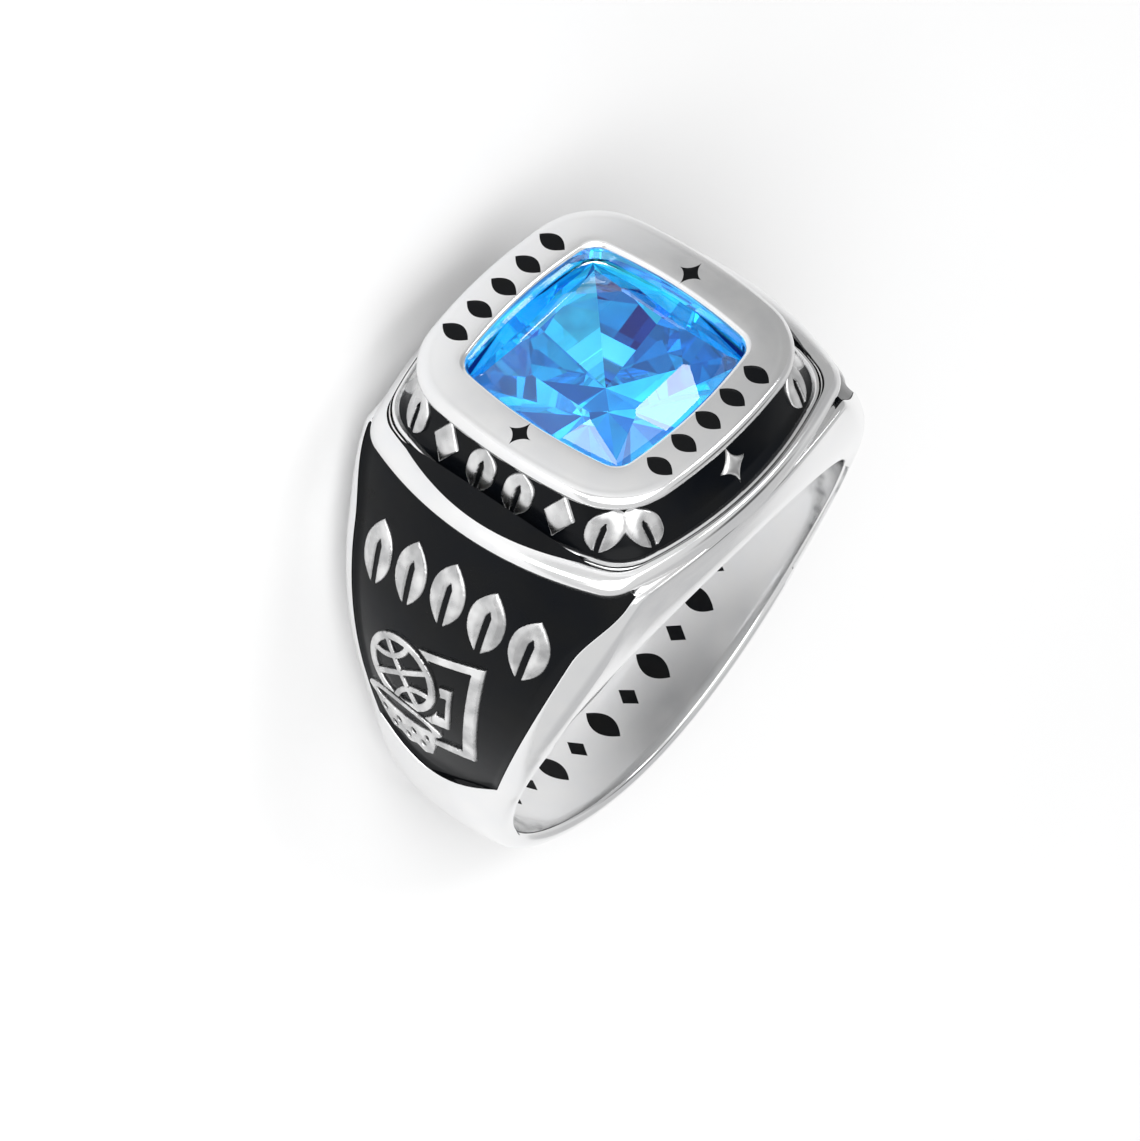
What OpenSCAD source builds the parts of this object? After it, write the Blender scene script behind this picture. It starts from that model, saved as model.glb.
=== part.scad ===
// Class ring: a cast silver ring with a square cushion-cut stone, a black enamelled wall round its head and a
// black enamelled panel on each shoulder, all with raised silver motifs. It lies on its side as it would rest.
//
// Every piece is drawn with the finger hole's axis along Y and the head up along Z, with the hole's middle at
// the origin, and module at_rest() then lays it down.

/* [Finger hole] */
// Inside diameter, a US size 10
bore_d = 19.8; // [16:0.1:23]

/* [Band] */
// Width of the band at the bottom
base_w = 3.8; // [3:0.1:6]
// Thickness of the band at the bottom
base_t = 1.05; // [0.9:0.05:2]
// Width of the band at the top of the finger hole
top_w = 15; // [13:0.1:18]
// How much wider than the finger hole's rim the sides stand at the head
side_flare = 0.25; // [0:0.05:0.5]
// Radius of the crown across the band
crown_r = 12; // [9:0.5:20]
// Rounding of the band's edges at the bottom
base_round = 0.6; // [0.4:0.1:0.8]
// Rounding of the shoulders' edges
shoulder_round = 0.9; // [0.5:0.1:1.2]

/* [Head] */
// Thickness of the head, from the finger hole to the top face
head_t = 6; // [5.2:0.1:7]
// Width of the rim round the stone
rim_w = 13.05; // [12.4:0.05:13.6]
// Thickness of the rim, whose edge is fully rounded
rim_t = 0.75; // [0.5:0.05:1]
// Width of the stone's opening in the top face
opening_w = 8.9; // [8:0.1:9.5]
// Width of the lip under the enamelled wall
lip_w = 14.7; // [14:0.1:15.4]
// Depth of the lip below the top face
lip_drop = 2.8; // [2.4:0.1:3.4]
// Width of the bead at its lower edge, across the shoulders
bead_w = 17.2; // [16:0.1:19]
// Depth of the bead's lower edge below the top face
bead_drop = 3.45; // [3.2:0.05:4]

/* [Enamel] */
// Depth of the recess that holds the enamel
recess = 0.45; // [0.3:0.05:0.6]
// How far the enamel stays below the metal round it
enamel_drop = 0.12; // [0.05:0.01:0.2]
// Clearance between the enamel and the metal
enamel_gap = 0.05; // [0.03:0.01:0.1]
// Height of a motif on the head's wall
wall_motif_h = 1.65; // [1.2:0.05:1.7]
// Width of a leaf on the head's wall
wall_motif_w = 1.2; // [0.9:0.1:1.6]
// Height of a leaf on the shoulder
leaf_h = 3; // [2:0.1:3.2]
// Width of a leaf on the shoulder
leaf_w = 1.7; // [1:0.1:1.8]
// Height of the ball and hoop on the shoulder
hoop_h = 7; // [5:0.1:7.2]
// Room between the hoop and the panel's side
hoop_room = 0.16; // [0.08:0.01:0.4]
// Room between the net and the panel's lower border
net_room = 0.46; // [0.3:0.01:0.8]
// Room between the outer leaves and the panel's sides
leaf_room = 0.8; // [0.5:0.1:1.2]
// Angle of the shoulder panel's lower corners above the finger hole's middle
panel_low = 2; // [0:1:10]

/* [Stone] */
// Width of the stone at its girdle
stone_w = 9.1; // [8.2:0.1:9.6]
// Height of the stone above its girdle
crown_h = 1.15; // [0.8:0.05:1.4]
// Depth of the stone below its girdle
pavilion_h = 3.6; // [2.6:0.1:3.8]
// Width of the table as a share of the stone's width
table_share = 0.6; // [0.5:0.01:0.7]
// Depth of the girdle below the top face
girdle_drop = 1.05; // [0.9:0.05:1.3]
// Thickness of the girdle
girdle_t = 0.2; // [0.1:0.05:0.3]
// Clearance between the stone and its seat
stone_gap = 0.06; // [0.04:0.01:0.12]

/* [Engraving] */
// Depth of the engraved marks on the rim
engrave = 0.2; // [0.1:0.05:0.3]
// Height of an engraved mark
mark_h = 1.15; // [0.8:0.05:1.3]

/* [Hidden] */
$fn = 48;

bore_r = bore_d / 2;
base_r = bore_r + base_t;
head_z = bore_r + head_t;
bead_z = head_z - bead_drop;
lip_z = head_z - lip_drop;
girdle_z = head_z - girdle_drop;
// The shoulders reach the bead's lower edge at this angle and radius
bead_angle = atan2(bead_z, bead_w / 2);
bead_r = norm([bead_w / 2, bead_z]);
side_half = top_w / 2 + side_flare;
// How far the lofts reach inside the finger hole before it is cut
skin = 0.5;
// How far the head's foot reaches down inside the band, and how far inside the bead it starts
head_sink = 0.75;
head_taper = 0.35;
sections = 48;
flare_power = 1.6;
shoulder_power = 1.4;

// Shape of the band

// Angle about the finger hole's axis, folded onto one side of the ring
function fold(a) = a > 90 ? 180 - a : a;
function smooth(x) = let (t = max(0, min(1, x))) t * t * (3 - 2 * t);
function mix(a, b, t) = a + (b - a) * t;
// Share of the way from the bottom's width to the top's
function flare(a) = pow((1 + sin(a)) / 2, flare_power);
function rim_half(a) = mix(base_w / 2, top_w / 2, flare(fold(a)));
function edge_half(a) = rim_half(a) + side_flare * mix(0.2, 1, flare(fold(a)));
function edge_round(a) = let (f = fold(a), low = mix(base_round, shoulder_round, smooth((f + 45) / 50)))
    mix(low, 0.3, smooth((f - 46) / 14));
// Radius of the outer surface at an angle, and b to one side of the middle
function shoulder_r(a) = base_r + (bead_r - base_r) * pow(max(fold(a), 0) / bead_angle, shoulder_power);
function crowned_r(a, b) = shoulder_r(a) - b * b / (2 * crown_r);
// The same, kept below the head's bead
function outer_r(a, b) = fold(a) < 40 ? crowned_r(a, b) : min(crowned_r(a, b), (bead_z - 0.3) / sin(fold(a)));

function at(a, r, b) = [r * cos(a), b, r * sin(a)];
function bezier(p, q, r, t) = (1 - t) * (1 - t) * p + 2 * t * (1 - t) * q + t * t * r;

// Half a section as radius and offset, from inside the finger hole to the middle of the crown
function half_section(a) =
    let (w = edge_half(a), e = edge_round(a), c = outer_r(a, w), g = max(bore_r + 0.05, c - e))
    concat(
        [[bore_r - skin, rim_half(a)]],
        [for (t = [0 : 1 / 3 : 1.01]) bezier([g, mix(rim_half(a), w, 0.9)], [c, w], [outer_r(a, w - e), w - e], t)],
        [for (s = [2, 1, 0]) [outer_r(a, (w - e) * s / 3), (w - e) * s / 3]]
    );
function mirrored(half) = [for (i = [len(half) - 2 : -1 : 0]) [half[i][0], -half[i][1]]];

// A closed loft of rings that all have the same number of points, joined end to end
module ring_loft(rings) {
    n = len(rings);
    m = len(rings[0]);
    polyhedron(
        points = [for (ring = rings) for (p = ring) p],
        faces = [for (i = [0 : n - 1]) for (j = [0 : m - 1])
            let (k = (i + 1) % n, l = (j + 1) % m)
            for (f = [[i * m + j, i * m + l, k * m + l], [i * m + j, k * m + l, k * m + j]]) f]
    );
}

// A loft of rings with a flat lid at each end
module stack(rings) {
    n = len(rings);
    m = len(rings[0]);
    polyhedron(
        points = [for (ring = rings) for (p = ring) p],
        faces = concat(
            [[for (j = [0 : m - 1]) j]],
            [for (i = [0 : n - 2]) for (j = [0 : m - 1])
                let (l = (j + 1) % m)
                for (f = [[i * m + j, (i + 1) * m + l, i * m + l], [i * m + j, (i + 1) * m + j, (i + 1) * m + l]]) f],
            [[for (j = [m - 1 : -1 : 0]) (n - 1) * m + j]]
        )
    );
}

module band() {
    ring_loft([for (i = [0 : sections - 1])
        let (a = i * 360 / sections - 90, f = a, half = half_section(f))
        [for (p = concat(half, mirrored(half))) at(f, p[0], p[1])]]);
}

// Shape of the head

// A square outline with bowed sides and rounded corners: half width, side radius and corner radius
function corner_middle(h, side, corner) = let (x = h - side) (x + sqrt(2 * pow(side - corner, 2) - x * x)) / 2;
function cushion(h, side, corner, per_side = 5, per_corner = 4) =
    let (c = corner_middle(h, side, corner), reach = atan2(c, c - h + side))
    [for (q = [0 : 3]) for (p = concat(
        [for (i = [0 : per_side - 1]) let (t = mix(-reach, reach, i / per_side))
            [h - side + side * cos(t), side * sin(t)]],
        [for (i = [0 : per_corner - 1]) let (t = mix(reach, 90 - reach, i / per_corner))
            [c + corner * cos(t), c + corner * sin(t)]]))
        [p[0] * cos(90 * q) - p[1] * sin(90 * q), p[0] * sin(90 * q) + p[1] * cos(90 * q)]];
// Bow of an outline: its side radius and corner radius as shares of its half width
rim_bow = [3.6, 0.5];
lip_bow = [2.35, 0.3];
bead_bow = [2.2, 0.22];
opening_bow = [4.9, 0.2];
// One outline of the head at a height: half width across the shoulders, across the finger hole, and bow
function level(z, along, across, bow) =
    [for (p = cushion(along, bow[0] * along, bow[1] * along)) [p[0], p[1] * across / along, z]];

rim_half_w = rim_w / 2;
lip_half = lip_w / 2;
bead_half = bead_w / 2;
rim_edge = rim_t / 2;
// The enamelled wall's top and bottom, on the recess's floor
wall_top = [rim_half_w - rim_edge, head_z - rim_t];
wall_foot = [lip_half - 0.15, lip_z];

module head() {
    round_half = (bead_half - lip_half) * 0.72;
    bead_lift = bead_drop - lip_drop - 0.1;
    stack(concat(
        [level(bead_z - head_sink, bead_half - head_taper, side_half - 0.04, bead_bow)],
        [for (t = [0 : 22.5 : 90])
            level(bead_z + bead_lift * sin(t), bead_half - round_half * (1 - cos(t)),
                mix(side_half, lip_half + 0.1, 1 - cos(t)), bead_bow)],
        [level(lip_z - 0.06, lip_half + 0.2, lip_half + 0.06, lip_bow)],
        [level(lip_z - 0.06, lip_half + 0.12, lip_half + 0.04, lip_bow)],
        [level(lip_z - 0.14, lip_half + 0.06, lip_half + 0.02, lip_bow)],
        [level(lip_z, lip_half, lip_half, lip_bow)],
        [level(lip_z + 0.04, lip_half - 0.1, lip_half - 0.1, lip_bow)],
        [level(wall_foot[1], wall_foot[0] - recess, wall_foot[0] - recess, lip_bow)],
        [level(wall_top[1], wall_top[0] - recess, wall_top[0] - recess, rim_bow)],
        [for (t = [-90 : 45 : 90])
            level(head_z - rim_edge + rim_edge * sin(t), rim_half_w - rim_edge + rim_edge * cos(t),
                rim_half_w - rim_edge + rim_edge * cos(t), rim_bow)]
    ));
}

// The layer of the head's wall between two depths under its face, and between two heights as shares
module wall_layer(deep, shallow, lo = 0, hi = 1) {
    function ends(t, d) = mix(wall_foot, wall_top, t) - [d, 0];
    function ring(t, d) = let (p = ends(t, d), b = mix(lip_bow, rim_bow, t)) level(p[1], p[0], p[0], b);
    difference() {
        stack([ring(lo, shallow), ring(hi, shallow)]);
        stack([ring(lo - 0.1, deep), ring(hi + 0.1, deep)]);
    }
}

// Stone and its seat

function stone_level(z, share, bow = opening_bow) = level(z, stone_w / 2 * share, stone_w / 2 * share, bow);

module seat() {
    lid = 1;
    edge = 0.2;
    half = opening_w / 2;
    seat_half = stone_w / 2 + stone_gap;
    floor_z = girdle_z - girdle_t - pavilion_h;
    stack([
        level(floor_z - stone_gap, 0.35, 0.35, opening_bow),
        level(mix(floor_z, girdle_z, 0.45) - stone_gap, seat_half * 0.66, seat_half * 0.66, opening_bow),
        level(girdle_z - girdle_t - stone_gap, seat_half, seat_half, opening_bow),
        level(girdle_z + 2 * stone_gap, seat_half, seat_half, opening_bow),
        level(girdle_z + 3 * stone_gap, half, half, opening_bow),
        level(head_z - edge, half, half, opening_bow),
        level(head_z, half + edge, half + edge, opening_bow),
        level(head_z + lid, half + edge, half + edge, opening_bow)
    ]);
}

// A square ring of points: corners and side middles of a facet row, as shares of the half width
function facet_row(z, corner, side) = [for (q = [0 : 3]) for (p = [[side, 0], [corner, corner]])
    [p[0] * cos(90 * q) - p[1] * sin(90 * q), p[0] * sin(90 * q) + p[1] * cos(90 * q), z]];

module stone_solid() {
    h = stone_w / 2;
    girdle = cushion(h, opening_bow[0] * h, opening_bow[1] * h, 4, 2);
    table_z = girdle_z + crown_h;
    culet_z = girdle_z - girdle_t - pavilion_h;
    hull() {
        stack([
            [for (p = girdle) [p[0], p[1], girdle_z - girdle_t]],
            [for (p = girdle) [p[0], p[1], girdle_z]]
        ]);
        stack([
            facet_row(girdle_z + crown_h * 0.6, h * 0.76, h * 0.86),
            facet_row(table_z, h * table_share * 0.86, h * table_share)
        ]);
        stack([
            facet_row(culet_z, 0.05, 0.05),
            facet_row(mix(culet_z, girdle_z, 0.42), h * 0.44, h * 0.53)
        ]);
    }
}

// Motifs, flat, to be set on a wall

// A pointed leaf, slit from its foot along the vein
module leaf(w, h, slit = 0.24, n = 5) {
    side = [for (i = [0 : n - 1]) let (t = 2 * i / n - 1) [w / 2 * (1 - t * t), h / 2 * t]];
    difference() {
        polygon(concat(side, -side));
        if (slit > 0) {
            translate([-slit / 2, -h / 2 - slit]) square([slit, h * 0.62]);
        }
    }
}

module lozenge(w, h) {
    polygon([[w / 2, 0], [0, h / 2], [-w / 2, 0], [0, -h / 2]]);
}

// A star of four points with curved sides
module star(r) {
    polygon([for (i = [0 : 15]) let (t = i * 22.5, c = cos(t), s = sin(t))
        r * [0.8 * sign(c) * pow(abs(c), 2.8), sign(s) * pow(abs(s), 2.8)]]);
}

// A straight stroke between two points
module stroke(from, to, w) {
    d = to - from;
    translate(from) rotate(atan2(d[1], d[0])) translate([0, -w / 2]) square([norm(d), w]);
}

// A ball falling into a hoop with its net, in front of a backboard, drawn one unit high
// With open = false the hoop and the net are filled, as the enamel leaves them
module ball_and_hoop(open = true) {
    line = 0.045;
    ball = [-0.11, 0.085];
    ball_r = 0.27;
    hoop = [-0.1, -0.24];
    hoop_r = 0.3;
    frame = [[0, 0.37], [0.46, 0.5], [0.43, -0.3], [0.1, -0.36]];
    inside = [[0.08, 0.33], [0.41, 0.43], [0.38, -0.26], [0.16, -0.31]];
    target = [[0.14, 0.16], [0.3, 0.2], [0.29, -0.12], [0.16, -0.15]];
    net_top = [-0.34, -0.18, -0.02, 0.14];
    net_foot = [-0.17, -0.07, 0.03, 0.13];
    // The backboard and its target, behind the ball and the hoop
    difference() {
        polygon(frame);
        polygon(inside);
        translate(ball) circle(ball_r + line, $fn = 18);
    }
    difference() {
        polygon(target);
        polygon([for (p = target) p * 0.55 + [0.1, 0.01]]);
        translate(ball) circle(ball_r + line, $fn = 18);
    }
    // The ball with its seams
    difference() {
        translate(ball) difference() {
            circle(ball_r, $fn = 18);
            for (a = [35, 125]) {
                rotate(a) square([1, line * 0.7], center = true);
            }
            for (s = [-1, 1]) {
                rotate(35) translate([0, s * 0.36]) difference() {
                    circle(0.25 + line * 0.35, $fn = 14);
                    circle(0.25 - line * 0.35, $fn = 14);
                }
            }
        }
        translate(hoop) scale([1, 0.26]) circle(hoop_r + line * 1.4, $fn = 16);
    }
    // The hoop, and the net below it
    translate(hoop) scale([1, 0.26]) difference() {
        circle(hoop_r, $fn = 16);
        if (open) {
            circle(hoop_r - line * 1.5, $fn = 16);
        }
    }
    if (open) {
        for (i = [0 : 2]) {
            stroke([net_top[i], hoop[1] - 0.05], [net_foot[i + 1], -0.5], line * 0.8);
            stroke([net_top[i + 1], hoop[1] - 0.05], [net_foot[i], -0.5], line * 0.8);
        }
    } else {
        polygon([[net_top[0] - line / 2, hoop[1] - line], [net_top[3] + line / 2, hoop[1] - line],
            [net_foot[3] + line * 0.6, -0.5 - line / 2], [net_foot[0] - line * 0.6, -0.5 - line / 2]]);
    }
}

// Places on the walls

// Stands a flat motif on the band's surface at an angle, b to one side of the middle
module on_band(a, b, turn = 0) {
    multmatrix([[0, -sin(a), cos(a), 0], [1, 0, 0, b], [0, cos(a), sin(a), 0]])
        rotate(turn) linear_extrude(bead_r + 2) children();
}

// Stands a flat motif on one side of the head's wall, s along it from the side's middle
module on_wall(side, s) {
    r = lip_bow[0] * lip_half;
    t = s / r * 180 / PI;
    mid = (wall_foot[1] + wall_top[1]) / 2;
    rotate(90 * side) multmatrix([[-sin(t), 0, cos(t), lip_half - r], [cos(t), 0, sin(t), 0], [0, 1, 0, mid]])
        translate([0, 0, r - 2.2]) linear_extrude(3.2) children();
}

// Motifs along the head's wall, grown by a clearance where the enamel is cut for them
module wall_motifs(grow = 0) {
    // Places along a side, as shares of the lip's half width, and the kind of motif there
    along = [[-0.66, "leaf"], [-0.4, "lozenge"], [-0.13, "leaf"], [0.13, "leaf"], [0.4, "lozenge"], [0.66, "leaf"]];
    across = [[-0.64, "leaf"], [0, "star"], [0.64, "leaf"]];
    for (side = [0 : 3]) {
        for (m = side % 2 == 0 ? along : across) {
            on_wall(side, m[0] * lip_half) {
                if (m[1] == "leaf") offset(delta = grow) leaf(wall_motif_w, wall_motif_h, 0.2, 4);
                if (m[1] == "lozenge") offset(delta = grow) lozenge(wall_motif_w, wall_motif_h);
                if (m[1] == "star") offset(delta = grow, chamfer = true) star(wall_motif_h * 0.48);
            }
        }
    }
}

// Motifs on one shoulder, grown by a clearance where the enamel is cut for them
module shoulder_motifs(grow = 0, open = true) {
    leaves_a = mix(panel_low, bead_angle, 0.809);
    // How far to the side the net's foot reaches, as a share of the panel's half width
    net_share = 0.65;
    hoop_a = panel_foot(net_share) + asin((0.5225 * hoop_h + net_room) / base_r);
    // Where the hoop's side comes nearest to the panel's
    near_a = hoop_a - asin(0.24 * hoop_h / shoulder_r(hoop_a));
    spread = panel_half(leaves_a) - leaf_w / 2 - leaf_room;
    for (i = [-2 : 2]) {
        on_band(leaves_a - abs(i) * 0.6, i / 2 * spread, -3 * i) offset(delta = grow) leaf(leaf_w, leaf_h);
    }
    on_band(hoop_a, hoop_room + 0.4 * hoop_h - panel_half(near_a))
        offset(delta = grow) scale(hoop_h) ball_and_hoop(open);
}

// The layer of a shoulder panel between two depths under the band's face, inset from the panel's edge
function panel_half(a) = edge_half(a) - edge_round(a) * 0.98;
// Angle of the panel's bowed lower border, at a share of its half width
function panel_foot(v) = panel_low - 6 * (1 - v * v);
module panel_layer(deep, shallow, inset = 0) {
    rows = 8;
    cols = 6;
    turn = inset * 180 / PI / base_r;
    // Rows stay where they are whatever the inset, but for the first and the last
    function row(i, v) = mix(panel_foot(v), bead_angle + 7, i / rows) + (i == 0 ? turn : i == rows ? -turn : 0);
    function grid(i, j, d) = let (v = 2 * j / cols - 1, a = row(i, v), b = v * (panel_half(a) - inset))
        at(a, crowned_r(a, b) - d, b);
    stack([for (i = [0 : rows]) concat(
        [for (j = [0 : cols]) grid(i, j, shallow)],
        [for (j = [cols : -1 : 0]) grid(i, j, deep)])]);
}

// Marks engraved in the rim: a row of leaves and lozenges on two sides and a star on the other two
module rim_marks() {
    mid = (opening_w / 2 + rim_half_w - rim_edge) / 2;
    leaves = [-3, -1.5, 0, 1.5, 3];
    for (side = [0 : 3]) {
        rotate(90 * side) translate([mid, 0, head_z - engrave]) linear_extrude(engrave + 1) {
            if (side % 2 == 0) {
                rotate(90) star(mark_h * 0.6);
            } else {
                for (s = leaves) {
                    translate([0, s]) rotate(90) leaf(mark_h * 0.62, mark_h, 0);
                }
            }
        }
    }
}

// Pose

// Lowest point of a list of sections when the ring is tilted, each point given as height and half width
function lowest(points, tilt) = min([for (p = points) p[0] * sin(tilt) - p[1] * cos(tilt)]);
head_points = concat(
    [for (p = half_section(90)) [p[0], p[1]]],
    [[bead_z, side_half], [lip_z, lip_half + 0.1], [head_z - rim_edge, rim_half_w]]);
base_points = [for (p = half_section(-90)) [-p[0], p[1]]];
// The tilt at which the head's side and the band's bottom both touch the table
function resting_tilt(lo, hi, n) = let (t = (lo + hi) / 2)
    n == 0 ? t : lowest(head_points, t) < lowest(base_points, t) ? resting_tilt(t, hi, n - 1) : resting_tilt(lo, t, n - 1);
tilt = resting_tilt(0, 45, 24);
table_z = lowest(head_points, tilt);
// Furthest points along Y when tilted, for the origin under the middle
function reach_y(points, tilt) = [for (p = points) for (s = [-1, 1]) -p[0] * cos(tilt) + s * p[1] * sin(tilt)];
all_y = reach_y(concat(head_points, base_points, [[head_z, rim_half_w - rim_edge]]), tilt);
middle_y = (min(all_y) + max(all_y)) / 2;

module at_rest() {
    translate([0, -middle_y, -table_z]) rotate([90 - tilt, 0, 0]) children();
}

// Nodes

// The whole casting but for the finger hole, joined as one mesh
module casting() {
    resize([0, 0, 0]) union() {
        difference() {
            union() {
                difference() {
                    band();
                    for (turn = [0, 180]) {
                        rotate(turn) panel_layer(recess, -1);
                    }
                }
                head();
            }
            seat();
            rim_marks();
        }
        for (turn = [0, 180]) {
            rotate(turn) intersection() {
                panel_layer(recess + 0.2, 0);
                shoulder_motifs();
            }
        }
        intersection() {
            wall_layer(recess + 0.2, 0);
            wall_motifs();
        }
    }
}

module ring_body() {
    color("silver") at_rest() difference() {
        casting();
        rotate([90, 0, 0]) cylinder(r = bore_r, h = 2 * top_w, center = true, $fn = 180);
    }
}

module stone() {
    color("deepskyblue") at_rest() stone_solid();
}

module head_enamel() {
    color("black") at_rest() resize([0, 0, 0]) difference() {
        wall_layer(recess - enamel_gap, enamel_drop, 0.03, 0.97);
        wall_motifs(enamel_gap);
    }
}

module shoulder_enamel(turn) {
    color("black") at_rest() rotate(turn) resize([0, 0, 0]) difference() {
        panel_layer(recess - enamel_gap, enamel_drop, enamel_gap);
        shoulder_motifs(enamel_gap, false);
        head_block();
    }
}

// The room that the bead takes, grown by the enamel's clearance
module head_block() {
    across = side_half + 2 * enamel_gap;
    stack([
        level(bead_z - head_sink - 2 * enamel_gap, bead_half - head_taper + 0.4 * enamel_gap, across, bead_bow),
        level(bead_z - 2 * enamel_gap, bead_half + enamel_gap, across, bead_bow),
        level(head_z, bead_half + enamel_gap, across, bead_bow)
    ]);
}

module shoulder_enamel_left() {
    shoulder_enamel(0);
}

module shoulder_enamel_right() {
    shoulder_enamel(180);
}

ring_body();
stone();
head_enamel();
shoulder_enamel_left();
shoulder_enamel_right();
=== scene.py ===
"""Looks of the class ring: polished silver, black enamel, raised motifs and a blue cushion-cut stone."""
from itertools import combinations

import bmesh
import bpy
import numpy as np
from mathutils import Matrix, Vector
from mathutils.geometry import delaunay_2d_cdt


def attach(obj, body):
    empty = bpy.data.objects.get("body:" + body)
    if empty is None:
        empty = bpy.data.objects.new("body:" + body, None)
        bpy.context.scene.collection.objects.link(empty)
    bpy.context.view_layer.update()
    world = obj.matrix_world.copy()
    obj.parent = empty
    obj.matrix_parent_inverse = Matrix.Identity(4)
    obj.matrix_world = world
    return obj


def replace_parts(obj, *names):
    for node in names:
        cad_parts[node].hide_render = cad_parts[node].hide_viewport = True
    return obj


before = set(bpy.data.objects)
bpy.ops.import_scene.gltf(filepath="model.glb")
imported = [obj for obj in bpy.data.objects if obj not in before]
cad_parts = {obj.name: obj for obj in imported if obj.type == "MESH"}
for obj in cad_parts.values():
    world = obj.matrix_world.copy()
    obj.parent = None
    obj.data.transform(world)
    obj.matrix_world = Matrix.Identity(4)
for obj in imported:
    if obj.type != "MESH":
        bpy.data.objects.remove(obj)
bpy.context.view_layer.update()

MM = 0.001

# Sizes of the band in mm, as in the part's source
BORE_R = 9.9
BASE_W = 3.8
BASE_T = 1.05
TOP_W = 15.0
SIDE_FLARE = 0.25
LOW_FLARE = 0.2
CROWN_R = 12.0
BASE_ROUND = 0.6
SHOULDER_ROUND = 0.9
HEAD_ROUND = 0.3
FLARE_POWER = 1.6
SHOULDER_POWER = 1.4

# Sizes of the head, its wall and its rim
HEAD_Z = 15.9
RIM_W = 13.05
RIM_T = 0.75
OPENING_W = 8.9
LIP_W = 14.7
LIP_DROP = 2.8
BEAD_W = 17.2
BEAD_DROP = 3.45
RECESS = 0.45
ENGRAVE = 0.2

# Sizes of the stone
STONE_W = 9.1
CROWN_H = 1.15
PAVILION_H = 3.6
GIRDLE_DROP = 1.05
GIRDLE_T = 0.2
STONE_GAP = 0.06

# Sizes of the motifs, and the room that they keep from the panel's borders
WALL_MOTIF_H = 1.65
WALL_MOTIF_W = 1.2
LEAF_H = 3.0
LEAF_W = 1.7
HOOP_H = 7.0
HOOP_ROOM = 0.16
NET_ROOM = 0.46
LEAF_ROOM = 0.8
MARK_H = 1.15

# Shoulder panel in degrees: its lower corners, its lower border's dip, and its reach above the bead's angle
PANEL_LOW = 2.0
PANEL_DIP = 6.0
PANEL_REACH = 7.0

# Degrees between which the rounding of the band's edge grows, and shrinks again below the head
ROUND_GROWS = (-45, 5)
ROUND_SHRINKS = (46, 60)

BASE_R = BORE_R + BASE_T
BEAD_Z = HEAD_Z - BEAD_DROP
LIP_Z = HEAD_Z - LIP_DROP
GIRDLE_Z = HEAD_Z - GIRDLE_DROP
BEAD_HALF = BEAD_W / 2
LIP_HALF = LIP_W / 2
RIM_HALF = RIM_W / 2
RIM_EDGE = RIM_T / 2
SIDE_HALF = TOP_W / 2 + SIDE_FLARE
BEAD_ANGLE = np.degrees(np.arctan2(BEAD_Z, BEAD_HALF))
BEAD_R = np.hypot(BEAD_HALF, BEAD_Z)
PANEL_TOP = BEAD_ANGLE + PANEL_REACH

# How the ring lies: its tilt, and where the finger hole's middle is in the row frame
TILT = np.radians(15.7418)
MIDDLE_Y = -3.06984
TABLE_Z = -4.66847


def to_row(p):
    """Points of the ring's own frame (along, across, up; mm) in the row frame, in metres."""
    p = np.asarray(p, float)
    x, y, z = p[..., 0], p[..., 1], p[..., 2]
    s, c = np.sin(TILT), np.cos(TILT)
    return np.stack([x, y * s - z * c - MIDDLE_Y, y * c + z * s - TABLE_Z], -1) * MM


def from_row(p):
    """A point of the row frame in the ring's own frame, in mm."""
    x, y, z = np.asarray(p, float) / MM + (0, MIDDLE_Y, TABLE_Z)
    s, c = np.sin(TILT), np.cos(TILT)
    return x, y * s + z * c, z * s - y * c


def turn_row(d):
    """A direction of the ring's own frame in the row frame."""
    return Vector((to_row(d) - to_row((0, 0, 0))) / MM)


# Meshes


def mesh_piece(name, points, faces, material, smooth=None, slot=None):
    """An object from points in the ring's own frame; one with a slot is a piece of the ring."""
    mesh = bpy.data.meshes.new(name)
    mesh.from_pydata([tuple(p) for p in to_row(points)], [], [tuple(map(int, f)) for f in faces])
    mesh.validate()
    piece = bpy.data.objects.new(name, mesh)
    bpy.context.scene.collection.objects.link(piece)
    face_outward(mesh, smooth)
    if material:
        mesh.materials.append(material)
    if slot:
        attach(piece, "root")
    return piece


def face_outward(mesh, smooth):
    """Turns all faces outward, and shades them smooth except over edges sharper than smooth degrees."""
    work = bmesh.new()
    work.from_mesh(mesh)
    bmesh.ops.recalc_face_normals(work, faces=work.faces)
    work.to_mesh(mesh)
    work.free()
    if smooth:
        mesh.shade_smooth()
        mesh.set_sharp_from_angle(angle=np.radians(smooth))


def loft(rings, closed=False):
    """Points and faces of a loft of rings with the same number of points, closed on itself or with lids."""
    rings = np.asarray(rings, float)
    n, m = rings.shape[:2]
    faces = []
    for i in range(n if closed else n - 1):
        k = (i + 1) % n
        for j in range(m):
            q = (j + 1) % m
            faces.append((i * m + j, i * m + q, k * m + q, k * m + j))
    if not closed:
        faces.append(tuple(range(m)))
        faces.append(tuple(range((n - 1) * m, n * m)))
    return rings.reshape(-1, 3), faces


def cut(piece, cutters):
    """Takes the cutters out of the piece and deletes them."""
    for cutter in cutters:
        change = piece.modifiers.new("cut", "BOOLEAN")
        change.object = cutter
        change.operation = "DIFFERENCE"
        change.solver = "EXACT"
    graph = bpy.context.evaluated_depsgraph_get()
    mesh = bpy.data.meshes.new_from_object(piece.evaluated_get(graph))
    piece.modifiers.clear()
    old = piece.data
    piece.data = mesh
    bpy.data.meshes.remove(old)
    for cutter in cutters:
        bpy.data.objects.remove(cutter)


# Shape of the band

# Below, a is an angle round the finger hole, from -90 degrees at the bottom to 90 at the head, b is a place
# across the band, and r is a radius


def smooth_step(x):
    t = np.clip(x, 0, 1)
    return t * t * (3 - 2 * t)


def rise(x, start, end):
    """From 0 at the start to 1 at the end, smoothly."""
    return smooth_step((x - start) / (end - start))


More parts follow.
